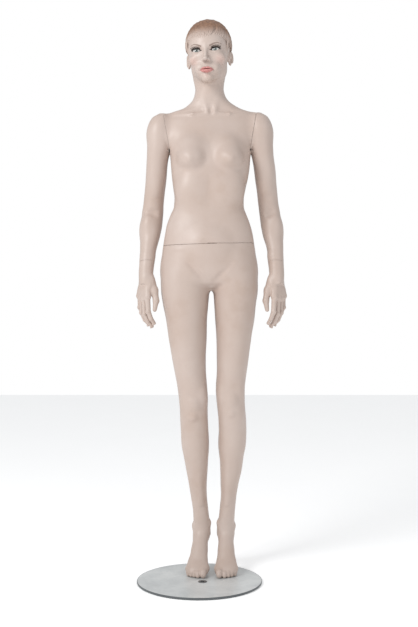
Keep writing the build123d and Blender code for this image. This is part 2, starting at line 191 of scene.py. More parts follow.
# ---------------------------------------------------------------- implicit surface kit
class Grid:
    """A box of samples with its own step, on which a field is put together piece by piece."""

    def __init__(self, low, high, step):
        self.low = np.array(low, dtype=np.float64)
        self.step = np.array(step if np.ndim(step) else (step,) * 3, dtype=np.float64)
        count = np.ceil((np.array(high) - self.low) / self.step).astype(int) + 1
        self.axes = [self.low[i] + self.step[i] * np.arange(count[i]) for i in range(3)]
        self.x = self.axes[0].astype(np.float32)[:, None, None]
        self.y = self.axes[1].astype(np.float32)[None, :, None]
        self.z = self.axes[2].astype(np.float32)[None, None, :]
        self.field = np.full(count, 1000.0, dtype=np.float32)
        self.posed = None

    def twin(self):
        """An empty grid on the same samples."""
        other = object.__new__(Grid)
        other.__dict__.update(self.__dict__)
        other.field = np.full(self.field.shape, 1000.0, dtype=np.float32)
        return other

    def pose(self, pivot, turn, shift):
        """Shapes given after this are turned about a pivot and shifted along x, as the head is held."""
        spin = rotation(turn)
        away = (pivot[0] + shift, pivot[1], pivot[2])
        p = [self.x - np.float32(away[0]), self.y - np.float32(away[1]), self.z - np.float32(away[2])]
        self.posed = (np.array(pivot, float), spin, np.array(away, float))
        self.local = [
            sum(np.float32(spin[j, i]) * p[j] for j in range(3)) + np.float32(pivot[i]) for i in range(3)
        ]

    def part(self, middle, reach):
        """The slices and coordinates within reach of a point."""
        if self.posed:
            pivot, spin, away = self.posed
            middle = spin @ (np.array(middle) - pivot) + away
        cut = []
        for i in range(3):
            first = int(np.searchsorted(self.axes[i], middle[i] - reach))
            last = int(np.searchsorted(self.axes[i], middle[i] + reach))
            cut.append(slice(first, max(last, first)))
        cut = tuple(cut)
        if self.posed:
            return (cut, *(axis[cut] for axis in self.local))
        return cut, self.x[cut[0]], self.y[:, cut[1]], self.z[:, :, cut[2]]

    def join(self, value, k, cut=...):
        self.field[cut] = smooth_min(self.field[cut], value, k)

    def carve(self, value, k, cut=...):
        self.field[cut] = -smooth_min(-self.field[cut], value, k)


def rotation(turn):
    """Matrix of a turn in degrees about x, then y, then z."""
    total = np.eye(3)
    for axis in range(3):
        c, s = math.cos(math.radians(turn[axis])), math.sin(math.radians(turn[axis]))
        i, j = (axis + 1) % 3, (axis + 2) % 3
        one = np.eye(3)
        one[i, i], one[i, j], one[j, i], one[j, j] = c, -s, s, c
        total = one @ total
    return total


def smooth_min(a, b, k):
    h = np.maximum(k - np.abs(a - b), 0) / k
    return np.minimum(a, b) - h * h * (k / 4)


def spline(knots, values, at):
    """A smooth curve through the values that doesn't overshoot."""
    knots, values = np.asarray(knots, float), np.asarray(values, float)
    gap = np.diff(knots)
    slope = np.diff(values) / gap
    tangent = np.zeros_like(values)
    same = slope[:-1] * slope[1:] > 0
    w1, w2 = 2 * gap[1:] + gap[:-1], gap[1:] + 2 * gap[:-1]
    safe = np.where(same, slope[:-1] * slope[1:], 1)
    tangent[1:-1] = np.where(same, (w1 + w2) * safe / (w1 * slope[1:] + w2 * slope[:-1] + 1e-12 * ~same), 0)
    tangent[0], tangent[-1] = slope[0], slope[-1]
    at = np.clip(at, knots[0], knots[-1])
    i = np.clip(np.searchsorted(knots, at) - 1, 0, len(knots) - 2)
    t = (at - knots[i]) / gap[i]
    a = (1 + 2 * t) * (1 - t) ** 2 * values[i] + t * (1 - t) ** 2 * gap[i] * tangent[i]
    return a + t * t * (3 - 2 * t) * values[i + 1] + t * t * (t - 1) * gap[i] * tangent[i + 1]


def sections(grid, table):
    """Distance to a column of level sections."""
    rows = np.array(sorted(table), dtype=float)
    z = grid.axes[2]
    cx, cy, a, f, b, n = (spline(rows[:, 0], rows[:, i], z).astype(np.float32) for i in range(1, 7))
    dx = grid.x - (cx + np.float32(MID_X))
    dy = grid.y - cy
    depth = np.where(dy < 0, f, b)
    rho = (np.abs(dx / a) ** n + np.abs(dy / depth) ** n) ** (1 / n)
    away = np.sqrt(dx * dx + dy * dy)
    value = away - away / np.maximum(rho, 0.02)
    ends = np.maximum(rows[0, 0] - grid.z, grid.z - rows[-1, 0])
    return np.maximum(value, ends)


def middle_line(table):
    """The place of a limb's middle at a height."""
    rows = np.array(sorted(table), float)
    return lambda z: (spline(rows[:, 0], rows[:, 1], z), spline(rows[:, 0], rows[:, 2], z))


def turned(x, y, z, middle, turn):
    """Coordinates about a middle, turned by angles in degrees about x, then y, then z."""
    p = [x - middle[0], y - middle[1], z - middle[2]]
    for axis, angle in ((2, turn[2]), (1, turn[1]), (0, turn[0])):
        if angle:
            c, s = math.cos(math.radians(angle)), math.sin(math.radians(angle))
            i, j = (axis + 1) % 3, (axis + 2) % 3
            p[i], p[j] = c * p[i] + s * p[j], c * p[j] - s * p[i]
    return p


def ellipsoid(x, y, z, middle, radii, turn=(0, 0, 0)):
    p = turned(x, y, z, middle, turn)
    q = [p[i] / radii[i] for i in range(3)]
    k0 = np.sqrt(q[0] ** 2 + q[1] ** 2 + q[2] ** 2)
    k1 = np.sqrt((q[0] / radii[0]) ** 2 + (q[1] / radii[1]) ** 2 + (q[2] / radii[2]) ** 2)
    return k0 * (k0 - 1) / np.maximum(k1, 1e-6)


def bone(x, y, z, start, end, r_start, r_end):
    """Distance to a tapered rod with round ends."""
    ax, ay, az = (end[i] - start[i] for i in range(3))
    px, py, pz = x - start[0], y - start[1], z - start[2]
    t = np.clip((px * ax + py * ay + pz * az) / (ax * ax + ay * ay + az * az), 0, 1)
    away = np.sqrt((px - t * ax) ** 2 + (py - t * ay) ** 2 + (pz - t * az) ** 2)
    return away - (r_start + t * (r_end - r_start))


def blob(grid, middle, radii, k=8, turn=(0, 0, 0), carve=False):
    """Adds or carves an ellipsoid; middle is given from the figure's mid-plane."""
    centre = (middle[0] + MID_X, middle[1], middle[2])
    cut, x, y, z = grid.part(centre, max(radii) + 2 * k + 6)
    if min(grid.field[cut].shape) == 0:
        return
    value = ellipsoid(x, y, z, centre, radii, turn)
    (grid.carve if carve else grid.join)(value, k, cut)


def rod(grid, start, end, r_start, r_end, k=8, carve=False):
    start = (start[0] + MID_X, start[1], start[2])
    end = (end[0] + MID_X, end[1], end[2])
    middle = [(start[i] + end[i]) / 2 for i in range(3)]
    reach = math.dist(start, end) / 2 + max(r_start, r_end) + 2 * k + 6
    cut, x, y, z = grid.part(middle, reach)
    if min(grid.field[cut].shape) == 0:
        return
    value = bone(x, y, z, start, end, r_start, r_end)
    (grid.carve if carve else grid.join)(value, k, cut)


def plane_side(grid, point, normal):
    """Signed distance from a plane, in millimetres."""
    return sum((c - p) * n for c, p, n in zip((grid.x, grid.y, grid.z), point, normal)).astype(np.float32)


def joint_plane(grid, name, flip=1):
    joint = JOINTS[name]
    return plane_side(grid, [1000 * v for v in joint["pos_m"]], [flip * v for v in joint["axis"]])


def meshed(grid, name):
    """The grid's zero surface as a smooth mesh object in metres."""
    band = float(4 * grid.step.max())
    volume = openvdb.FloatGrid(band)
    volume.copyFromArray(np.clip(grid.field, -band, band))
    volume.gridClass = openvdb.GridClass.LEVEL_SET
    points, quads = volume.convertToQuads(isovalue=0.0)
    points = (points * grid.step + grid.low) * MM
    mesh = bpy.data.meshes.new(name)
    mesh.vertices.add(len(points))
    mesh.vertices.foreach_set("co", points.astype(np.float32).ravel())
    mesh.loops.add(4 * len(quads))
    mesh.loops.foreach_set("vertex_index", quads[:, ::-1].astype(np.int32).ravel())
    mesh.polygons.add(len(quads))
    mesh.polygons.foreach_set("loop_start", np.arange(0, 4 * len(quads), 4, dtype=np.int32))
    mesh.polygons.foreach_set("use_smooth", np.ones(len(quads), dtype=bool))
    mesh.update(calc_edges=True)
    mesh.validate()
    obj = bpy.data.objects.new(name, mesh)
    bpy.context.scene.collection.objects.link(obj)
    return obj


def cut_mesh(obj, point, normal, keep_above, lowest=None):
    """Cuts a mesh with a plane in millimetres, everywhere or only above a height."""
    spot = np.array(point) * MM
    bm = bmesh.new()
    bm.from_mesh(obj.data)
    geometry = bm.verts[:] + bm.edges[:] + bm.faces[:]
    if lowest is not None:
        faces = [f for f in bm.faces if min(v.co.z for v in f.verts) > lowest * MM]
        edges = {e for f in faces for e in f.edges}
        geometry = list({v for f in faces for v in f.verts}) + list(edges) + faces
    bmesh.ops.bisect_plane(
        bm, geom=geometry, plane_co=spot, plane_no=normal, clear_inner=keep_above, clear_outer=not keep_above
    )
    return bm


def trim(obj, grid, height, keep_above):
    """Cuts a mesh level where a finer or coarser one goes on; the field shades the edge, so both match."""
    bm = cut_mesh(obj, (0, 0, height), (0, 0, 1), keep_above)
    bm.to_mesh(obj.data)
    bm.free()
    points = vertices(obj)
    rim = np.abs(points[:, 2] - height) < 1.5 * grid.step.max()
    normals = np.zeros_like(points)
    for axis in range(3):
        reach = np.zeros(3)
        reach[axis] = 2.0
        ahead = sample(grid, grid.field, points[rim] + reach)
        normals[rim, axis] = ahead - sample(grid, grid.field, points[rim] - reach)
    normals[rim] /= np.linalg.norm(normals[rim], axis=1)[:, None]
    obj.data.normals_split_custom_set_from_vertices(normals.tolist())


def seam(obj, joint, keep_above, lowest=None):
    """Cuts a mesh at a joint and gives the cut a wall of the laminate's thickness round a recess."""
    normal = np.array(JOINTS[joint]["axis"], float)
    if "right" not in joint and "waist" not in joint:
        normal = -normal
    side = 1 if keep_above else -1
    point = 1000 * np.array(JOINTS[joint]["pos_m"]) + normal * side * SEAM_GAP
    bm = cut_mesh(obj, point, normal, keep_above, lowest)

    def near(edge):
        reach = [abs(float(np.dot(np.array(v.co) / MM - point, normal))) for v in edge.verts]
        return max(reach) < (0.01 if lowest is None else 14)

    edges = [e for e in bm.edges if e.is_boundary and near(e)]
    faces = bmesh.ops.holes_fill(bm, edges=edges, sides=0)["faces"]
    for edge in edges:
        edge.smooth = False
    bmesh.ops.inset_region(bm, faces=faces, thickness=LAMINATE * MM, use_even_offset=True)
    inner = {v for f in faces for v in f.verts}
    for vert in inner:
        vert.co += Vector(normal * side * RECESS * MM)
    for vert in inner:
        for edge in vert.link_edges:
            edge.smooth = False
    for face in faces:
        face.smooth = False
    bm.normal_update()
    bm.to_mesh(obj.data)
    bm.free()


# ---------------------------------------------------------------- trunk
def add_trunk(grid):
    grid.join(sections(grid, TRUNK), 0.1)
    for s in (-1, 1):
        # breasts, full below and sloping off above, with a fold under each
        blob(grid, (4 + s * 58, 72, 1392), (44, 44, 52), k=26, turn=(-14, 0, s * 12))
        blob(grid, (5 + s * 61, 57, 1366), (45, 46, 40), k=14, turn=(-8, 0, s * 12))
        blob(grid, (5 + s * 66, 18, 1362), (7, 6, 7), k=12)
        # shoulder blades, buttocks and the muscles beside the spine
        blob(grid, (5 + s * 72, 196, 1400), (44, 17, 62), k=30, turn=(0, s * 14, 0))
        blob(grid, (s * 70, 176, 985), (66, 58, 62), k=34)
        rod(grid, (s * 28, 176, 1120), (4 + s * 34, 196, 1330), 16, 22, k=26)
        # collar bones and the slight hollows above them
        rod(grid, (8 + s * 15, 88, 1521), (7 + s * 60, 88, 1519), 4, 4, k=8)
        rod(grid, (7 + s * 60, 88, 1519), (6 + s * 116, 110, 1517), 4, 4.5, k=8)
        blob(grid, (7 + s * 48, 82, 1537), (26, 9, 7), k=10, turn=(0, s * 4, 0), carve=True)
        # neck muscles from behind the ears to the notch
        rod(grid, (s * 38, 126, 1640), (7 + s * 11, 88, 1526), 10, 5, k=13)
        # lower ribs and the creases of the groin
        blob(grid, (3 + s * 56, 62, 1262), (50, 32, 60), k=30)
        rod(grid, (4 + s * 72, 18, 1022), (4 + s * 16, 22, 962), 3, 3, k=17, carve=True)
    rod(grid, (3, 17, 1300), (-8, 10, 1150), 4, 4, k=15, carve=True)
    blob(grid, (0, 40, 1078), (60, 30, 56), k=34)
    blob(grid, (-12, 20, 1192), (4, 6, 6.5), k=5, carve=True)
    blob(grid, (7, 78, 1532), (6, 9, 9), k=9, carve=True)
    rod(grid, (0, 190, 1080), (5, 210, 1440), 5, 4, k=20, carve=True)
    rod(grid, (2, 226, 905), (2, 238, 1010), 5, 2, k=14, carve=True)
    blob(grid, (4, 92, 964), (34, 44, 18), k=16)


def arm_field(grid, side):
    """An arm with its muscles; the fields of trunk and hand are joined to it later."""
    table = RIGHT_ARM if side == "right" else LEFT_ARM
    s = -1 if side == "right" else 1
    part = grid.twin()
    part.join(sections(part, table), 0.1)
    middle = middle_line(table)
    top = table[0][0]
    x, y = middle(top - 58)
    blob(part, (x + s * 8, y, top - 66), (36, 42, 50), k=18)
    x, y = middle(1330)
    blob(part, (x, y - 14, 1322), (24, 26, 66), k=18)
    blob(part, (x, y + 14, 1340), (26, 24, 70), k=18)
    x, y = middle(1200)
    blob(part, (x + s * 4, y + 24, 1197), (14, 11, 18), k=12)
    blob(part, (x, y - 38, 1196), (17, 7, 12), k=12, carve=True)
    x, y = middle(1140)
    blob(part, (x + s * 8, y - 4, 1140), (27, 29, 52), k=16, turn=(16, 0, 0))
    x, y = middle(1034)
    blob(part, (x + s * 15, y + 12, 1036), (7, 8, 10), k=10)
    return part.field


# ---------------------------------------------------------------- hands
HAND = {
    "forefinger": [(-4, -27, 116), (3, -28, 163), (15, -28, 186), (30, -26, 201)],
    "middle_finger": [(-5, -9, 120), (2, -9, 171), (16, -9, 196), (33, -9, 211)],
    "ring_finger": [(-5, 9, 118), (1, 10, 166), (14, 9, 190), (30, 7, 205)],
    "little_finger": [(-4, 25, 110), (1, 27, 149), (11, 26, 167), (23, 24, 180)],
}
FINGER_R = {"forefinger": 9.0, "middle_finger": 9.3, "ring_finger": 8.8, "little_finger": 7.6}
HAND_TURN = {"right": 34, "left": 40}


def hand_place(side):
    """Maps a hand's own (towards palm, towards little finger, down) to the shared frame."""
    turn = math.radians(HAND_TURN[side])
    inward = 1 if side == "right" else -1
    joint = JOINTS[side + "_wrist_twist"]
    origin = np.array([1000 * v for v in joint["pos_m"]]) - (MID_X, 0, 0)
    palm = np.array([inward * math.cos(turn), math.sin(turn), 0])
    across = np.array([-inward * math.sin(turn), math.cos(turn), 0])
    down = np.array([-inward * 0.07, -0.16, -1])

    def place(point):
        return tuple(origin + palm * point[0] + across * point[1] + down * point[2])

    return place


def add_hand(grid, side):
    place = hand_place(side)
    spin = HAND_TURN[side] if side == "right" else -HAND_TURN[side]
    lean = 9
    rod(grid, place((0, 0, -20)), place((0, 0, 28)), 22, 20, k=14)
    for point, radii, k in (
        ((-1, -2, 50), (15, 25, 30), 16),
        ((-2, -3, 80), (14, 34, 34), 16),
        ((-4, -1, 108), (12, 37, 26), 12),
        ((9, -20, 74), (13, 16, 30), 14),
        ((7, 22, 78), (11, 13, 34), 14),
    ):
        blob(grid, place(point), radii, k=k, turn=(lean, 0, spin))
    blob(grid, place((15, 4, 88)), (8, 16, 26), k=12, turn=(lean, 0, spin), carve=True)
    for name, joints in HAND.items():
        r = FINGER_R[name]
        spots = [place(joint) for joint in joints]
        rod(grid, place((joints[0][0] - 1, joints[0][1] * 0.8, 86)), spots[0], r, r + 0.8, k=9)
        for start, end, r0, r1 in zip(spots, spots[1:], (r, r * 0.9, r * 0.8), (r * 0.9, r * 0.8, r * 0.62)):
            rod(grid, start, end, r0, r1, k=1.6)
        knuckle = place((joints[0][0] - 5, joints[0][1], joints[0][2] + 1))
        blob(grid, knuckle, (6, 6, 7), k=7)
        middle_joint = place((joints[1][0] - 2, joints[1][1], joints[1][2]))
        blob(grid, middle_joint, (r * 0.86, r * 0.95, r * 0.9), k=3)
        nail = np.array(joints[3]) + (joints[3][0] - joints[2][0]) * np.array((0.05, 0, 0)) + (-5.2, 0, 2.2)
        blob(grid, place(nail), (3.2, r * 0.5, 5.5), k=1.2, turn=(0, 0, spin))
    thumb = [(4, -16, 52), (17, -32, 92), (22, -40, 127), (19, -41, 157)]
    for start, end, r0, r1 in zip(thumb, thumb[1:], (15, 12, 9.8), (12, 9.8, 6.6)):
        rod(grid, place(start), place(end), r0, r1, k=6)
    rod(grid, place((6, -14, 96)), place((16, -34, 100)), 6, 6, k=12)


# ---------------------------------------------------------------- legs and feet
def add_legs(grid):
    """Both legs, joined softly to the hips and hardly to each other."""
    right, left = grid.twin(), grid.twin()
    add_leg(right, "right")
    add_leg(left, "left")
    grid.join(smooth_min(right.field, left.field, np.float32(5)), 22)


def add_leg(grid, side):
    table = RIGHT_LEG if side == "right" else LEFT_LEG
    s = -1 if side == "right" else 1
    middle = middle_line(table)
    grid.join(sections(grid, table), 26)
    lift = 0 if side == "right" else 12
    x, y = middle(560)
    # kneecap, the pads beside it and the hollow behind the knee
    blob(grid, (x, y - 42, 566 + lift), (21, 20, 27), k=12)
    blob(grid, (x - s * 26, y - 28, 590 + lift), (15, 20, 30), k=16)
    blob(grid, (x + s * 24, y - 28, 606 + lift), (14, 20, 34), k=16)
    blob(grid, (x, y - 44, 524 + lift), (12, 13, 14), k=10)
    blob(grid, (x, y + 62, 556 + lift), (22, 16, 40), k=20, carve=True)
    # thigh, shin edge and both heads of the calf
    x, y = middle(760)
    blob(grid, (x + s * 8, y - 26, 780), (40, 42, 150), k=26)
    x, y = middle(430)
    rod(grid, (x - s * 5, y - 42, 500), (middle(230)[0] - s * 4, middle(230)[1] - 26, 230), 8, 6, k=12)
    blob(grid, (x - s * 19, y + 30, 428), (24, 32, 66), k=18)
    blob(grid, (x + s * 17, y + 28, 446), (23, 30, 62), k=18)
    # ankle bones and the tendon above the heel
    x, y = middle(160)
    blob(grid, (x - s * 24, y - 2, 158), (8, 10, 11), k=9)
    blob(grid, (x + s * 24, y + 5, 148), (8, 10, 11), k=9)
    rod(grid, (middle(260)[0], middle(260)[1] + 26, 260), (x, y + 27, 140), 9, 8, k=10)
    for hollow in (-1, 1):
        rod(grid, (x + hollow * 17, y + 24, 230), (x + hollow * 19, y + 20, 150), 4, 5, k=10, carve=True)


TOE_OUT = {"right": -17, "left": -3}


def add_foot(grid, side):
    """A foot on its toes; forward is -Y, turned out a little, and the big toe is on the inside."""
    s = -1 if side == "right" else 1
    x0 = -24.0 if side == "right" else 57.0
    out = TOE_OUT[side]
    back = 154.0

    def place(across, forward, up):
        return (x0 + s * across + out * forward / 150, back - forward, DECK + up)

    for point, radii, k, pitch in (
        ((0, -16, 102), (25, 26, 30), 16, 0),
        ((0, 6, 116), (25, 30, 30), 18, 0),
        ((1, 34, 88), (25, 34, 27), 20, 42),
        ((1, 62, 62), (28, 34, 24), 20, 38),
        ((2, 88, 38), (33, 32, 19), 18, 27),
        ((2, 106, 23), (39, 26, 16), 14, 10),
    ):
        blob(grid, place(*point), radii, k=k, turn=(pitch, 0, 0))
    rod(grid, place(-20, 96, 17), place(-22, 118, 15), 14, 11.5, k=12)
    rod(grid, place(26, 88, 13), place(25, 108, 11.5), 11, 9, k=12)
    blob(grid, place(-24, 52, 26), (20, 34, 24), k=14, turn=(35, 0, 0), carve=True)
    toes = ((-21, 118, 150, 11.0, 10.0), (-4, 120, 147, 8.0, 7.2), (8, 118, 141, 7.6, 6.8),
            (19, 114, 134, 7.2, 6.4), (29.5, 108, 125, 6.8, 6.0))
    for across, root, tip, r_root, r_tip in toes:
        knuckle = (root + tip) / 2 + 1
        bend = place(across, knuckle, r_root + 6)
        rod(grid, place(across * 0.95, root - 16, r_root + 8), bend, r_root, r_root, k=6)
        rod(grid, bend, place(across, tip - r_tip, r_tip + 0.6), r_root, r_tip, k=1.4)
        blob(grid, place(across, tip - r_tip - 1, r_tip * 2 - 0.2), (r_tip * 0.55, r_tip * 0.62, 1.6), k=0.8)
    grid.field = np.maximum(grid.field, DECK + 0.4 - grid.z)


# ---------------------------------------------------------------- head
HEAD_PIVOT = (MID_X, 128, 1625)
HEAD_SHIFT = 8.0
HEAD_TURN = (2, -3, -8)
SCALP = (0, 119, 1750)
SCALP_R = (75, 90, 83)
EYE = (30.5, 51, 1719)
EYE_R = 17.0
EYE_HALF_WIDTH = 15.5
LID = 1.9
MOUTH_Z = 1654.5
MOUTH_HALF_WIDTH = 22.5
BROW = ((15, 1731), (27, 1737.5), (39, 1740.5), (51, 1736.5))


def upper_lid(out):
    """Height of the upper lid's edge over the eye's middle, at a distance outwards from it."""
    return 5.2 * (1 - np.abs(np.clip(out / EYE_HALF_WIDTH, -1, 1)) ** 2.3) + 0.05 * out


def lower_lid(out):
    return -4.4 * (1 - np.clip(out / EYE_HALF_WIDTH, -1, 1) ** 2) + 0.05 * out


def scalp_point(way, lift=0.0):
    """A point over the scalp in a direction given on a unit ball: to the left, back and up."""
    way = np.array(way, float)
    way /= np.linalg.norm(way)
    radii = np.array(SCALP_R) + lift
    return np.array(SCALP) + way * radii


def hair_locks():
    """Each lock as (root, bend, tip, radius at the root, radius at the tip) on the unit ball."""
    locks = []
    # the fringe, swept from the parting on the left over the forehead to the right
    for i in range(16):
        t = i / 15
        root = (0.50 - 0.08 * t, -0.72 + 0.80 * t, 0.62 + 0.10 * t)
        low = 0.30 - 0.15 * math.sin(math.pi * min(1, 1.4 * t)) - 0.12 * t
        tip = (0.34 - 1.20 * t ** 0.9, -0.98 + 0.42 * t * t, low)
        bend = (0.16 - 0.68 * t, -0.92 + 0.50 * t, 0.66 + 0.12 * t)
        locks.append((root, bend, tip, 6.2, 1.6))
    # a shorter second row under it, down to the tips that end on the forehead
    for i in range(10):
        t = i / 9
        tip = (0.22 - 0.86 * t, -1.0 + 0.18 * t, 0.19 - 0.05 * math.sin(3 * math.pi * t))
        bend = (tip[0] + 0.20, -0.90, 0.50)
        locks.append(((0.46 - 0.3 * t, -0.70 + 0.1 * t, 0.66), bend, tip, 5.2, 1.2))
    # left of the parting, down to the temple
    for i in range(11):
        t = i / 10
        root = (0.54, -0.74 + 0.8 * t, 0.62)
        tip = (0.44 + 0.54 * t, -0.90 + 0.70 * t, 0.24 - 0.28 * t)
        bend = (0.66 + 0.08 * t, -0.80 + 0.74 * t, 0.50)
        locks.append((root, bend, tip, 5.6, 1.4))
    # the sides, combed back over the ears, and a strand in front of each
    for s in (-1, 1):
        locks.append(((s * 0.9, -0.35, 0.35), (s * 0.94, -0.46, 0.0), (s * 0.88, -0.42, -0.40), 6.0, 1.4))
        for i in range(13):
            t = i / 12
            root = (s * 0.42 + 0.06, -0.34 + 0.95 * t, 0.78)
            low = -0.16 if t < 0.45 else -0.16 - 0.9 * (t - 0.45)
            tip = (s * 0.98, -0.26 + 1.0 * t, low)
            bend = (s * 0.90, -0.32 + 0.98 * t, 0.46)
            locks.append((root, bend, tip, 6.6, 2.2))
    # over the crown, from the parting to the right side
    for i in range(10):
        t = i / 9
        back = 0.06 + 0.60 * t
        tip = (-0.95, back + 0.05, 0.12)
        locks.append(((0.46 - 0.1 * t, back - 0.06, 0.86), (-0.30, back, 1.05), tip, 6.6, 3.0))
    # the back, down to the nape
    for i in range(21):
        across = -1.1 + 2.2 * i / 20
        tip = (0.84 * across, 0.95, -0.78)
        locks.append(((0.4 * across, 0.44, 0.88), (0.9 * across, 1.0, 0.30), tip, 7.0, 2.2))
    return locks


def add_hair(grid):
    """Moulded short hair: a close cap with tapered strands in locks over it."""
    rng = np.random.default_rng(21)
    cap, x, y, z = grid.part((SCALP[0] + MID_X, SCALP[1], SCALP[2]), 120)
    shell = ellipsoid(x, y, z, (MID_X, SCALP[1], SCALP[2]), SCALP_R)
    front = (y - 60) * 0.62 + (z - 1770)
    nape = (y - 150) * 0.35 + (z - 1733)
    grid.join(np.maximum(-np.maximum(front, nape), shell), 4, cap)
    steps = np.linspace(0, 1, 9)
    for root, bend, tip, r_root, r_tip in hair_locks():
        root, bend, tip = (np.array(spot) + rng.normal(0, 0.012, 3) for spot in (root, bend, tip))
        sideways = np.cross(tip - root, bend)
        sideways /= np.linalg.norm(sideways)
        for strand in (-1, 0, 1):
            spots = []
            for t in steps:
                way = (1 - t) ** 2 * root + 2 * t * (1 - t) * bend + t * t * tip
                way = way / np.linalg.norm(way) + sideways * strand * 0.052 * (1 - t) ** 0.5
                radius = (r_root + (r_tip - r_root) * t ** 1.3) * (0.58 - 0.06 * abs(strand))
                spots.append((scalp_point(way, 0.6 + 1.2 * (strand == 0) - 0.3 * radius), radius))
            for (start, r0), (end, r1) in zip(spots, spots[1:]):
                rod(grid, start, end, r0, r1, k=1.4)


def ear_point(s, back, up, out=0.0):
    """A point of an ear: back from its middle, up, and out from the head."""
    return (s * (69.5 + out + 0.30 * back), 119 + back + 0.16 * up, 1703 + up)


def add_ear(grid, s):
    """Rim, inner fold, bowl and lobe."""
    blob(grid, ear_point(s, 0, 0, -2), (4.5, 12.5, 20), k=5, turn=(-10, 0, s * -16))
    rim = []
    for i in range(15):
        a = math.radians(-62 + 17.5 * i)
        rim.append(ear_point(s, 12 * math.cos(a), 3 + 18 * math.sin(a), 3.2))
    for start, end in zip(rim, rim[1:]):
        rod(grid, start, end, 2.5, 2.5, k=2)
    angles = np.radians((-50, -15, 20, 55, 90))
    fold = [ear_point(s, 6 * math.cos(a), -1 + 12 * math.sin(a), 2.2) for a in angles]
    for start, end in zip(fold, fold[1:]):
        rod(grid, start, end, 2.2, 2.0, k=2)
    blob(grid, ear_point(s, -1.5, -3, 3.4), (4, 6.5, 8), k=3, carve=True)
    blob(grid, ear_point(s, -9, -3, 1.5), (3, 3, 5), k=3)
    blob(grid, ear_point(s, -3, -18, 0.8), (3.6, 5.5, 6), k=4)


def add_head(grid):
    grid.pose(HEAD_PIVOT, HEAD_TURN, HEAD_SHIFT)
    shapes = (
        ((0, 117, 1747), (70, 85, 79), 1),
        ((0, 94, 1706), (59, 65, 76), 20),
        ((0, 68, 1750), (52, 38, 36), 12),
        ((0, 70, 1657), (42, 42, 35), 18),
        ((0, 40, 1629), (17, 14, 13), 16),
        ((0, 128, 1668), (46, 46, 50), 20),
    )
    for middle, radii, k in shapes:
        blob(grid, middle, radii, k=k)
    for s in (-1, 1):
        blob(grid, (s * 42, 100, 1666), (14, 26, 22), k=18, turn=(-22, 0, 0))
        blob(grid, (s * 42, 54, 1695), (19, 17, 14), k=16, turn=(0, s * 16, s * 22))
        blob(grid, (s * 31, 22, 1720), (20, 13, 11), k=10, carve=True)
        rod(grid, (s * 12, 36, 1733), (s * 46, 45, 1738), 4.0, 3.5, k=9)
        blob(grid, (s * 24, 44, 1661), (14, 13, 16), k=14)
    rod(grid, (0, 34, 1733), (0, 15, 1690), 4.8, 5.6, k=9)
    blob(grid, (0, 12.5, 1687), (7, 8, 6.5), k=5)
    for s in (-1, 1):
        blob(grid, (s * 9, 22, 1685), (5.5, 8, 5.5), k=4.5)
        blob(grid, (s * 6.4, 17, 1678.5), (2.7, 4.4, 5), k=1.6, carve=True)
        add_eye_socket(grid, s)
        add_ear(grid, s)
        # upper lip, one lobe a side, and the corner of the mouth
        blob(grid, (s * 6.5, 19.5, MOUTH_Z + 3.4), (8.5, 6.5, 3.8), k=3.5, turn=(0, s * 10, s * 22))
        blob(grid, (s * 14.5, 24, MOUTH_Z + 2), (9, 6, 2.8), k=4, turn=(0, s * 10, s * 30))
        blob(grid, (s * 8, 22, MOUTH_Z - 4), (10, 6.8, 4), k=4, turn=(0, -s * 8, s * 20))
        blob(grid, (s * 23, 28, MOUTH_Z), (3, 4, 3), k=6, carve=True)
    blob(grid, (0, 20, MOUTH_Z - 4.6), (10, 7.4, 4.6), k=4)
    blob(grid, (0, 12, MOUTH_Z), (20, 8.6, 0.8), k=2.2, carve=True)
    blob(grid, (0, 15, 1668), (2.6, 4, 6), k=4, carve=True)
    blob(grid, (0, 17, 1639), (14, 7, 4), k=7, carve=True)


def add_eye_socket(grid, s):
    """Lids that stand over the eyeball, with an almond opening and a crease above."""
    centre = (s * EYE[0] + MID_X, EYE[1], EYE[2])
    cut, x, y, z = grid.part(centre, 34)
    lids = ellipsoid(x, y, z, centre, (EYE_R + LID, EYE_R + LID, EYE_R + 0.4))
    grid.join(lids, 3.5, cut)
    out = (x - centre[0]) * s
    up = z - centre[2]
    crease_y = EYE[1] - EYE_R - 1.4 + 0.022 * out**2
    crease = np.sqrt((up - upper_lid(out) - 4.6) ** 2 + (y - crease_y) ** 2) - 0.7
    grid.carve(np.maximum(crease, np.abs(out) - EYE_HALF_WIDTH), 2.4, cut)
    opening = np.maximum(up - upper_lid(out), lower_lid(out) - up)
    opening = np.maximum(opening, np.abs(out) - EYE_HALF_WIDTH + 1)
    grid.carve(np.maximum(opening, y - EYE[1] + 3), 0.9, cut)


def head_local(points):
    """Where points of the turned head lie on the untwisted head, in millimetres."""
    spin = rotation(HEAD_TURN)
    pivot = np.array(HEAD_PIVOT)
    return (points - pivot - (HEAD_SHIFT, 0, 0)) @ spin + pivot - (MID_X, 0, 0)


def head_world(points):
    """The other way round: points of the untwisted head as the figure holds it."""
    pivot = np.array(HEAD_PIVOT)
    return (points + (MID_X, 0, 0) - pivot) @ rotation(HEAD_TURN).T + pivot + (HEAD_SHIFT, 0, 0)


def vertices(piece):
    """A mesh's points in millimetres."""
    flat = np.empty(3 * len(piece.data.vertices), np.float32)
    piece.data.vertices.foreach_get("co", flat)
    return flat.reshape(-1, 3).astype(float) / MM


def sample(grid, field, points):
    """The field's values at points between its samples."""
    at = (points - grid.low) / grid.step
    base = np.clip(np.floor(at).astype(int), 0, np.array(field.shape) - 2)
    part = at - base
    total = np.zeros(len(points))
    for corner in np.ndindex(2, 2, 2):
        weight = np.prod(np.where(corner, part, 1 - part), axis=1)
        total += weight * field[tuple((base + corner).T)]
    return total


def soft(low, high, value):
    """0 below low, 1 above high and smooth between."""
    t = np.clip((value - low) / (high - low), 0, 1)
    return t * t * (3 - 2 * t)


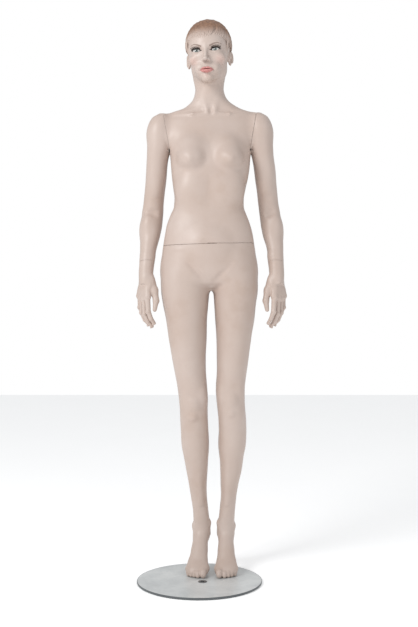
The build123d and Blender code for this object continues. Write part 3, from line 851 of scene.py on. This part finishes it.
def set_mask(piece, name, value):
    layer = piece.data.attributes.new(name, "FLOAT", "POINT")
    layer.data.foreach_set("value", value.astype(np.float32))


def stroke(x, z, points, width):
    """How much a brush stroke through points covers a spot; it thins out towards its last point."""
    cover = np.zeros_like(x)
    parts = len(points) - 1
    for i, ((x0, z0), (x1, z1)) in enumerate(zip(points, points[1:])):
        dx, dz = x1 - x0, z1 - z0
        t = np.clip(((x - x0) * dx + (z - z0) * dz) / (dx * dx + dz * dz), 0, 1)
        away = np.hypot(x - x0 - t * dx, z - z0 - t * dz)
        half = width * (1 - 0.55 * (i + t) / parts)
        cover = np.maximum(cover, 1 - soft(0.45 * half, 1.25 * half, away))
    return cover


def paint_head(piece, grid, bare):
    """Masks for what is painted on the head: hair with painted shade low between its strands, brows, lids,
    lips with a painted shade line along their parting, and cheeks.
    """
    points = vertices(piece)
    local = head_local(points)
    x, y, z = local.T
    front = 1 - soft(46, 60, y)
    scalp = [(local[:, i] - SCALP[i]) / SCALP_R[i] for i in range(3)]
    height = (np.sqrt(sum(v * v for v in scalp)) - 1) * 82
    moulded = soft(0.15, 1.4, sample(grid, bare, points))
    fade = np.clip(soft(1756, 1806, z) + soft(52, 128, y) * 0.75, 0.10, 1)
    set_mask(piece, "hair", moulded * fade)
    # painted shade: the hair's brown is darker where it lies low over the scalp, between the strands
    set_mask(piece, "hair_valley_shade", 1 - soft(-0.5, 3.6, height))
    across = np.abs(x)
    brow = stroke(across, z, BROW, 3.0) * front
    out, up = across - EYE[0], z - EYE[2]
    width_here = 1 - soft(EYE_HALF_WIDTH, EYE_HALF_WIDTH + 4, np.abs(out))
    above = up - upper_lid(out)
    liner = soft(-2.2, -1.2, above) * (1 - soft(1.6 + 0.05 * out, 3.0 + 0.06 * out, above)) * width_here
    below = lower_lid(out) - up
    lower = soft(-1.4, -0.6, below) * (1 - soft(0.2, 1.3, below)) * width_here
    shadow = soft(-1, 1, above) * (1 - soft(3, 13, above)) * (1 - soft(13, 24, np.abs(out)))
    set_mask(piece, "brow", brow)
    set_mask(piece, "liner", np.maximum(liner, 0.55 * lower) * front)
    set_mask(piece, "shadow", shadow * front)
    t = np.clip(np.abs(x) / MOUTH_HALF_WIDTH, 0, 1)
    top = MOUTH_Z + (7.0 + 1.6 * np.sin(np.clip(t / 0.55, 0, 1) * math.pi)) * (1 - t**2.2)
    low = MOUTH_Z - 9.6 * (1 - t * t) ** 0.8
    lips = soft(-0.9, 0.5, np.minimum(top - z, z - low)) * (np.abs(x) < MOUTH_HALF_WIDTH + 2) * front
    set_mask(piece, "lips", lips)
    # painted shade: a dark band along the groove where the lips meet
    set_mask(piece, "lip_parting_shade", np.exp(-(((z - MOUTH_Z) / 1.1) ** 2)) * lips)
    cheek = np.exp(-(((across - 44) / 16) ** 2) - ((z - 1686) / 15) ** 2) * (1 - soft(60, 90, y))
    set_mask(piece, "cheek", cheek)


def make_eye(s, side):
    """The painted eyeball in the opening of the lids, from rings about the line of sight."""
    angles = np.radians((0, 4, 7.6, 8.2, 13, 19.2, 20.6, 22, 32, 44, 56, 68))
    turns = 48
    spots = [(0.0, 0.0, -EYE_R - 0.5)]
    for a in angles[1:]:
        bulge = 0.5 * max(0.0, 1 - (a / angles[6]) ** 2)
        for i in range(turns):
            b = 2 * math.pi * i / turns
            away = EYE_R * math.sin(a)
            spots.append((away * math.cos(b), away * math.sin(b), -EYE_R * math.cos(a) - bulge))
    spots = np.array(spots)
    gaze = np.column_stack((spots[:, 0], spots[:, 2], spots[:, 1]))
    world = head_world(gaze + (s * EYE[0], EYE[1], EYE[2]))
    faces = [(0, 1 + i, 1 + (i + 1) % turns) for i in range(turns)]
    for ring in range(len(angles) - 2):
        a, b = 1 + ring * turns, 1 + (ring + 1) * turns
        faces += [(a + i, b + i, b + (i + 1) % turns, a + (i + 1) % turns) for i in range(turns)]
    piece = new_piece(side + "_eye", world, faces)
    set_mask(piece, "off_gaze", np.hypot(spots[:, 0], spots[:, 1]) / EYE_R)
    set_mask(piece, "around", np.arctan2(spots[:, 1], spots[:, 0]) / math.pi)
    return piece


def new_piece(name, points, faces):
    mesh = bpy.data.meshes.new(name)
    mesh.from_pydata([tuple(p) for p in np.array(points) * MM], [], faces)
    mesh.shade_smooth()
    piece = bpy.data.objects.new(name, mesh)
    bpy.context.scene.collection.objects.link(piece)
    return piece


def make_lashes(s, side):
    """Strip lashes along the upper lid: a band at the root and curved, tapered hairs spread along it."""
    rng = np.random.default_rng(5)
    points, faces = [], []

    def tube(path, radii, sides=5):
        first = len(points)
        for spot, radius in zip(path, radii):
            for i in range(sides):
                a = 2 * math.pi * i / sides
                points.append(spot + radius * np.array((math.cos(a), 0.35 * math.sin(a), math.sin(a))))
        for ring in range(len(path) - 1):
            a, b = first + ring * sides, first + (ring + 1) * sides
            faces.extend((a + i, a + (i + 1) % sides, b + (i + 1) % sides, b + i) for i in range(sides))
        faces.append(tuple(first + i for i in reversed(range(sides))))
        faces.append(tuple(first + (len(path) - 1) * sides + i for i in range(sides)))

    def root(out):
        depth = math.sqrt(max((EYE_R + LID) ** 2 - out * out - float(upper_lid(out)) ** 2, 1.0))
        up = float(upper_lid(out)) + 0.3
        return np.array((s * (EYE[0] + out), EYE[1] - depth - 0.2, EYE[2] + up))

    band = [root(out) for out in np.linspace(-13.5, 15.2, 15)]
    tube(band, [0.7] * len(band))
    for out in np.linspace(-12.5, 15.2, 44):
        start = root(out + rng.normal(0, 0.12))
        length = 6.0 + 0.16 * (out + 13) + rng.normal(0, 0.35)
        fan = 0.035 * out
        path = []
        for t in np.linspace(0, 1, 5):
            curl = (s * fan * t, -0.62 * t + 0.10 * t * t, 0.10 * t + 0.80 * t**1.7)
            path.append(start + length * np.array(curl))
        tube(path, (0.42, 0.40, 0.32, 0.22, 0.06))
    return new_piece(side + "_lash_strip", head_world(np.array(points)), faces)


# ---------------------------------------------------------------- pieces
def shoulder_side(grid, side):
    """Distance outside a shoulder's seam plane."""
    return joint_plane(grid, side + "_shoulder_twist", 1 if side == "right" else -1)


ARMPIT = 1399  # above it arm and trunk meet at the seam, below it they are apart
STUB = 10  # what is left outside the seam until the mesh is cut
NECK_BLEND = np.float32(14)  # how softly head and trunk meet
WRIST_BLEND = np.float32(12)  # how softly hand and arm meet


def make_torso(coarse):
    grid = Grid((-150, 8, 1060), (210, 232, 1606), (coarse, coarse, coarse * 1.2))
    add_trunk(grid)
    trunk = grid.field
    for side in ("right", "left"):
        arm = np.maximum(arm_field(grid, side), ARMPIT - grid.z)
        trunk = smooth_min(trunk, arm, seam_blend(grid))
        trunk = np.maximum(trunk, np.minimum(shoulder_side(grid, side) - STUB, grid.z - ARMPIT))
    head = grid.twin()
    add_head(head)
    grid.field = smooth_min(trunk, head.field, NECK_BLEND)
    torso = meshed(grid, "torso_laminate")
    seam(torso, "waist_twist", True)
    for side in ("right", "left"):
        seam(torso, side + "_shoulder_twist", False, lowest=ARMPIT + 1.5)
    trim(torso, grid, NECK_Z, False)
    return torso


def seam_blend(grid):
    """How softly arm and trunk meet: not at all at the armpit, and more and more above it."""
    return np.clip((grid.z - ARMPIT - 3) / 1.6, 0.1, 22).astype(np.float32)


def make_head(fine):
    grid = Grid((-62, -4, 1574), (122, 226, 1846), (fine, fine * 1.15, fine))
    add_trunk(grid)
    head = grid.twin()
    add_head(head)
    bare = smooth_min(head.field, grid.field, NECK_BLEND)
    add_hair(head)
    grid.field = smooth_min(head.field, grid.field, NECK_BLEND)
    piece = meshed(grid, "head_laminate")
    trim(piece, grid, NECK_Z, True)
    paint_head(piece, grid, bare)
    return piece


def make_arm(side, step):
    low = (-215, 60, 1005) if side == "right" else (150, 60, 1005)
    high = (-90, 215, 1540) if side == "right" else (295, 215, 1544)
    grid = Grid(low, high, step)
    arm = arm_field(grid, side)
    trunk = grid.twin()
    add_trunk(trunk)
    trunk = np.maximum(trunk.field, ARMPIT + 7 - grid.z)
    field = smooth_min(arm, trunk, seam_blend(grid))
    hand = grid.twin()
    add_hand(hand, side)
    grid.field = smooth_min(field, hand.field, WRIST_BLEND)
    piece = meshed(grid, side + "_arm_laminate")
    seam(piece, side + "_shoulder_twist", True)
    seam(piece, side + "_wrist_twist", False)
    return piece


def make_hand(side, step):
    low = (-215, 20, 800) if side == "right" else (180, 20, 800)
    high = (-110, 160, 1062) if side == "right" else (298, 160, 1062)
    grid = Grid(low, high, step)
    arm = arm_field(grid, side)
    add_hand(grid, side)
    grid.field = smooth_min(grid.field, arm, WRIST_BLEND)
    piece = meshed(grid, side + "_hand_skin")
    seam(piece, side + "_wrist_twist", True)
    return piece


def make_legs(coarse, fine):
    hips = Grid((-140, 2, 190), (204, 240, 1130), (coarse, coarse, coarse * 1.35))
    add_trunk(hips)
    add_legs(hips)
    piece = meshed(hips, "hips_legs_laminate")
    seam(piece, "waist_twist", False)
    trim(piece, hips, ANKLE_Z, True)
    feet = []
    for side, low_x, high_x in (("right", -62, 46), ("left", 46, 142)):
        foot = Grid((low_x, -14, 4), (high_x, 212, 240), fine)
        add_leg(foot, side)
        add_foot(foot, side)
        piece_foot = meshed(foot, side + "_foot_laminate")
        trim(piece_foot, foot, ANKLE_Z, False)
        feet.append(piece_foot)
    return [piece] + feet


# ---------------------------------------------------------------- materials
def linear(red, green, blue):
    """A colour given in display values from 0 to 255."""
    shares = (red / 255, green / 255, blue / 255)
    return tuple(c / 12.92 if c <= 0.04045 else ((c + 0.055) / 1.055) ** 2.4 for c in shares) + (1,)


class Paint:
    """A material and short ways to wire its nodes; mapped patterns follow the piece, in metres."""

    def __init__(self, name, **surface):
        self.material = bpy.data.materials.new(name)
        self.material.use_nodes = True
        self.tree = self.material.node_tree
        self.shader = self.tree.nodes["Principled BSDF"]
        self.place = self.tree.nodes.new("ShaderNodeTexCoord").outputs["Object"]
        for socket, value in surface.items():
            self.set(self.shader, socket.replace("_", " "), value)

    def set(self, node, socket, value):
        if isinstance(value, bpy.types.NodeSocket):
            self.tree.links.new(value, node.inputs[socket])
        else:
            node.inputs[socket].default_value = value

    def node(self, kind, sockets, **settings):
        node = self.tree.nodes.new("ShaderNode" + kind)
        for name, value in settings.items():
            setattr(node, name, value)
        for socket, value in sockets.items():
            self.set(node, socket, value)
        return node

    def stretched(self, scale):
        return self.node("Mapping", {"Vector": self.place, "Scale": scale}).outputs["Vector"]

    def noise(self, scale, detail=3.0, roughness=0.55, vector=None):
        sockets = {"Vector": vector or self.place, "Scale": scale, "Detail": detail, "Roughness": roughness}
        return self.node("TexNoise", sockets).outputs["Fac"]

    def span(self, value, low, high, start=0.0, end=1.0):
        sockets = {"Value": value, "From Min": low, "From Max": high, "To Min": start, "To Max": end}
        return self.node("MapRange", sockets, clamp=True).outputs["Result"]

    def mix(self, factor, first, second):
        node = self.node("Mix", {}, data_type="RGBA")
        self.set(node, 0, factor)
        self.set(node, 6, first)
        self.set(node, 7, second)
        return node.outputs[2]

    def attribute(self, name):
        return self.node("Attribute", {}, attribute_name=name).outputs["Fac"]

    def mask(self, name, strength):
        return self.times(self.attribute(name), strength)

    def times(self, first, second):
        return self.node("Math", {0: first, 1: second}, operation="MULTIPLY").outputs[0]

    def finish(self, colour, roughness=None, bump=None, strength=0.3, depth=0.0002):
        self.set(self.shader, "Base Color", colour)
        if roughness is not None:
            self.set(self.shader, "Roughness", roughness)
        if bump is not None:
            sockets = {"Height": bump, "Strength": strength, "Distance": depth}
            self.set(self.shader, "Normal", self.node("Bump", sockets).outputs["Normal"])
        return self.material


SKIN = linear(196, 178, 168)
SKIN_WARM = linear(190, 170, 158)
SKIN_PALE = linear(201, 185, 176)


def skin_colour(paint):
    """Sprayed satin paint: broad warm clouds and a very fine speckle."""
    clouds = paint.span(paint.noise(5.0, 4.0), 0.35, 0.65)
    colour = paint.mix(clouds, SKIN_WARM, SKIN_PALE)
    colour = paint.mix(paint.span(paint.noise(26.0, 2.0), 0.4, 0.62, 0.0, 0.6), colour, SKIN)
    speckle = paint.span(paint.noise(420.0, 2.0), 0.55, 0.75, 0.0, 0.10)
    return paint.mix(speckle, colour, linear(170, 145, 130))


def skin_finish(paint, colour):
    fine = paint.noise(700.0, 2.0)
    orange_peel = paint.noise(160.0, 2.0)
    relief = paint.mix(0.35, orange_peel, fine)
    roughness = paint.span(paint.noise(34.0, 3.0), 0.3, 0.7, 0.36, 0.46)
    return paint.finish(colour, roughness, relief, 0.22, 0.0003)


def skin_paint():
    paint = Paint("skin_paint", Specular_IOR_Level=0.42)
    return skin_finish(paint, skin_colour(paint))


def head_paint():
    """The skin's paint with hair, brows, lids, lips and cheeks brushed over it, with painted shade low
    between the hair's strands and along the parting of the lips.
    """
    paint = Paint("head_paint", Specular_IOR_Level=0.42)
    colour = skin_colour(paint)
    colour = paint.mix(paint.mask("cheek", 0.30), colour, linear(208, 158, 146))
    colour = paint.mix(paint.mask("shadow", 0.38), colour, linear(134, 104, 92))
    strands = paint.noise(150.0, 3.0, vector=paint.stretched((1.0, 0.6, 0.35)))
    brown = paint.mix(paint.span(strands, 0.35, 0.65), linear(112, 79, 59), linear(152, 114, 89))
    # painted shade: darker brown low between the strands of the hair
    brown = paint.mix(paint.mask("hair_valley_shade", 0.6), brown, linear(74, 50, 37))
    colour = paint.mix(paint.mask("hair", 0.95), colour, brown)
    hairs = paint.noise(520.0, 2.0, vector=paint.stretched((0.7, 1.0, 1.6)))
    hairs = paint.span(hairs, 0.25, 0.6, 0.45, 1.0)
    colour = paint.mix(paint.times(paint.mask("brow", 0.8), hairs), colour, linear(104, 78, 64))
    tint = paint.span(paint.noise(300.0, 2.0), 0.3, 0.7)
    lips = paint.mix(tint, linear(196, 124, 121), linear(214, 146, 141))
    # painted shade: darker red along the groove where the lips meet
    lips = paint.mix(paint.mask("lip_parting_shade", 0.75), lips, linear(128, 62, 62))
    colour = paint.mix(paint.mask("lips", 0.92), colour, lips)
    colour = paint.mix(paint.mask("liner", 0.95), colour, linear(34, 25, 24))
    return skin_finish(paint, colour)


def eye_paint():
    paint = Paint("eye_paint", Coat_Weight=0.8, Coat_Roughness=0.05, Roughness=0.2)
    off_gaze = paint.attribute("off_gaze")
    spokes = {"X": paint.times(paint.attribute("around"), 26.0), "Y": paint.times(off_gaze, 4.0)}
    streaks = paint.noise(1.0, 3.0, vector=paint.node("CombineXYZ", spokes).outputs[0])
    iris = paint.mix(streaks, linear(58, 62, 60), linear(150, 156, 150))
    ring = paint.node("ValToRGB", {"Fac": off_gaze})
    stops = (
        (0.0, 6, 6, 7), (0.135, 6, 6, 7),  # pupil
        (0.15, 120, 126, 122), (0.31, 128, 134, 130),  # iris
        (0.335, 30, 32, 34), (0.352, 30, 32, 34),  # its rim
        (0.375, 222, 220, 217), (0.7, 214, 205, 200), (0.86, 190, 160, 152),  # white, redder at the lids
    )
    elements = ring.color_ramp.elements
    while len(elements) < len(stops):
        elements.new(0.5)
    for element, (spot, *rgb) in zip(elements, stops):
        element.position = spot
        element.color = linear(*rgb)
    inside = paint.times(paint.span(off_gaze, 0.15, 0.17), paint.span(off_gaze, 0.32, 0.29))
    colour = paint.mix(paint.times(inside, 0.75), ring.outputs["Color"], iris)
    return paint.finish(colour)


def lash_fibre():
    paint = Paint("lash_fibre", Specular_IOR_Level=0.3)
    colour = paint.mix(paint.noise(900.0), linear(16, 12, 12), linear(44, 34, 32))
    return paint.finish(colour, paint.span(paint.noise(400.0), 0.3, 0.7, 0.5, 0.7))


def metal(name, dark, light, rough, brushed=None, grain=60.0):
    """Steel with cloudy tone, and with fine brushing where a stretch is given."""
    paint = Paint(name, Metallic=1.0)
    clouds = paint.span(paint.noise(14.0, 5.0, 0.62), 0.32, 0.68)
    colour = paint.mix(clouds, linear(*dark), linear(*light))
    lines = paint.noise(grain, 4.0, vector=paint.stretched(brushed) if brushed else None)
    colour = paint.mix(paint.span(lines, 0.4, 0.6, 0.0, 0.22), colour, linear(*(int(0.82 * c) for c in dark)))
    roughness = paint.span(lines, 0.3, 0.7, rough - 0.05, rough + 0.08)
    return paint.finish(colour, roughness, lines, 0.12, 0.00012)


def base_steel():
    """Brushed round plate: cloudy satin top, with painted shade as a thin dark band round the rim."""
    paint = Paint("base_plate_steel", Metallic=0.25)
    clouds = paint.span(paint.noise(9.0, 6.0, 0.65), 0.36, 0.64)
    colour = paint.mix(clouds, linear(204, 207, 207), linear(230, 232, 231))
    blotches = paint.span(paint.noise(34.0, 5.0, 0.7), 0.5, 0.75, 0.0, 0.30)
    colour = paint.mix(blotches, colour, linear(174, 179, 182))
    lines = paint.noise(18.0, 5.0, vector=paint.stretched((1.0, 26.0, 1.0)))
    colour = paint.mix(paint.span(lines, 0.42, 0.62, 0.0, 0.20), colour, linear(224, 226, 226))
    flat = paint.node("VectorMath", {0: paint.place, 1: (1.0, 1.0, 0.0)}, operation="MULTIPLY")
    radius = paint.node("VectorMath", {0: flat.outputs["Vector"]}, operation="LENGTH").outputs["Value"]
    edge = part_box("base_plate")[1][0]
    # painted shade: the outer edge of the plate is painted dark
    colour = paint.mix(paint.span(radius, edge - 0.0022, edge - 0.0012), colour, linear(92, 96, 98))
    roughness = paint.span(lines, 0.3, 0.7, 0.34, 0.44)
    return paint.finish(colour, roughness, lines, 0.10, 0.0001)


def plywood():
    paint = Paint("board_wood", Specular_IOR_Level=0.3)
    grain = {"Scale": 22.0, "Distortion": 5.0, "Detail": 3.0, "Detail Scale": 1.4}
    grain["Vector"] = paint.stretched((1.0, 0.25, 1.0))
    rings = paint.node("TexWave", grain).outputs["Fac"]
    colour = paint.mix(rings, linear(196, 160, 112), linear(222, 190, 142))
    pores = paint.noise(240.0, 3.0, vector=paint.stretched((1.0, 0.12, 1.0)))
    colour = paint.mix(paint.span(pores, 0.55, 0.72, 0.0, 0.5), colour, linear(138, 104, 68))
    return paint.finish(colour, paint.span(rings, 0.0, 1.0, 0.55, 0.7), pores, 0.25, 0.0003)


def rubber():
    paint = Paint("pad_rubber", Specular_IOR_Level=0.25)
    colour = paint.mix(paint.noise(60.0, 4.0), linear(38, 38, 40), linear(62, 62, 64))
    dimples = paint.node("TexVoronoi", {"Vector": paint.place, "Scale": 420.0}).outputs["Distance"]
    return paint.finish(colour, paint.span(dimples, 0.0, 0.8, 0.7, 0.9), dimples, 0.4, 0.0004)


def dress_cad_nodes():
    """Gives every CAD node that stays in view its material, by what the node is made of."""
    brushed = metal("rod_steel", (176, 180, 183), (206, 209, 211), 0.2, (60.0, 60.0, 1.0), 14.0)
    zinc = metal("zinc_plate", (168, 172, 176), (205, 208, 210), 0.33, None, 90.0)
    screw = metal("screw_steel", (140, 143, 146), (180, 182, 184), 0.28, None, 220.0)
    dark = metal("insert_steel", (108, 112, 116), (142, 146, 149), 0.35, None, 120.0)
    wood, pad, plate = plywood(), rubber(), base_steel()
    kinds = (("_screws", screw), ("set_screw", screw), ("_board", wood), ("_plate", zinc), ("insert", dark),
             ("rod_flange", brushed), ("support_rod", brushed), ("socket_tube", brushed), ("base_pad", pad))
    for name, obj in frame["nodes"].items():
        finish = plate if name == "base_plate" else next((m for end, m in kinds if name.endswith(end)), skin)
        for slot in obj.material_slots:
            slot.material = finish


# ---------------------------------------------------------------- studio
def lamp(name, location, target, power, size):
    data = bpy.data.lights.new(name, "AREA")
    data.energy, data.size = power, size
    light = bpy.data.objects.new(name, data)
    light.location = location
    light.rotation_euler = (Vector(target) - Vector(location)).to_track_quat("-Z", "Y").to_euler()
    bpy.context.scene.collection.objects.link(light)


def pale_world():
    """Soft light from all round, in front of a white backdrop."""
    world = bpy.data.worlds.new("studio")
    world.use_nodes = True
    tree = world.node_tree
    ambient = tree.nodes["Background"]
    ambient.inputs["Color"].default_value = (0.97, 0.985, 1.0, 1)
    ambient.inputs["Strength"].default_value = 0.60
    backdrop = tree.nodes.new("ShaderNodeBackground")
    backdrop.inputs["Color"].default_value = (1, 1, 1, 1)
    backdrop.inputs["Strength"].default_value = 1.0
    seen = tree.nodes.new("ShaderNodeLightPath")
    either = tree.nodes.new("ShaderNodeMixShader")
    tree.links.new(seen.outputs["Is Camera Ray"], either.inputs[0])
    tree.links.new(ambient.outputs[0], either.inputs[1])
    tree.links.new(backdrop.outputs[0], either.inputs[2])
    tree.links.new(either.outputs[0], tree.nodes["World Output"].inputs["Surface"])
    bpy.context.scene.world = world


def studio_floor():
    mesh = bpy.data.meshes.new("floor")
    half = 7.0
    corners = [(-half, -half, 0), (half, -half, 0), (half, half, 0), (-half, half, 0)]
    mesh.from_pydata(corners, [], [(0, 1, 2, 3)])
    floor = bpy.data.objects.new("floor", mesh)
    bpy.context.scene.collection.objects.link(floor)
    glow = {"Emission_Color": (1, 1, 1, 1), "Emission_Strength": 0.28}
    paint = Paint("floor_pale", Specular_IOR_Level=0.1, **glow)
    colour = paint.mix(paint.noise(2.0, 2.0), linear(252, 252, 252), linear(255, 255, 255))
    mesh.materials.append(paint.finish(colour, 0.8))


def studio_camera():
    camera = bpy.data.objects.new("camera", bpy.data.cameras.new("camera"))
    bpy.context.scene.collection.objects.link(camera)
    camera.location = (0.0305, -3.05, 0.861)
    camera.rotation_euler = (math.pi / 2, 0, 0)
    camera.data.lens = 54.6
    camera.data.sensor_width = 36
    camera.data.sensor_fit = "AUTO"
    bpy.context.scene.camera = camera


# ---------------------------------------------------------------- assembly
def place(piece, body, nodes, slot, material):
    piece.data.materials.append(material)
    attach(piece, body)
    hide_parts(nodes)


COARSE, FINE = ((2.6, 1.15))
skin, head_skin = skin_paint(), head_paint()
place(make_torso(COARSE), "upper_body", "torso_head_shell", "body_laminate", skin)
place(make_head(FINE), "upper_body", "torso_head_shell", "body_laminate", head_skin)
eye_material, lash_material = eye_paint(), lash_fibre()
for side, s in (("right", -1), ("left", 1)):
    place(make_eye(s, side), "upper_body", "torso_head_shell", "body_laminate", eye_material)
    place(make_lashes(s, side), "upper_body", side + "_eyelashes", "lash_fibre", lash_material)
    place(make_arm(side, COARSE * 0.8), side + "_arm", side + "_arm_shell", "body_laminate", skin)
    place(make_hand(side, FINE * 0.95), side + "_hand", side + "_hand_casting", "body_laminate", skin)
for piece in make_legs(COARSE, FINE * 1.1):
    place(piece, "lower_body", "hips_legs_shell", "body_laminate", skin)
dress_cad_nodes()

studio_floor()
pale_world()
lamp("key", (-2.3, -2.3, 3.0), (0, 0, 1.15), 74, 1.6)
lamp("fill", (1.6, -3.0, 2.2), (0, 0, 1.1), 12, 2.4)
studio_camera()
bpy.context.scene.view_settings.view_transform = "Standard"
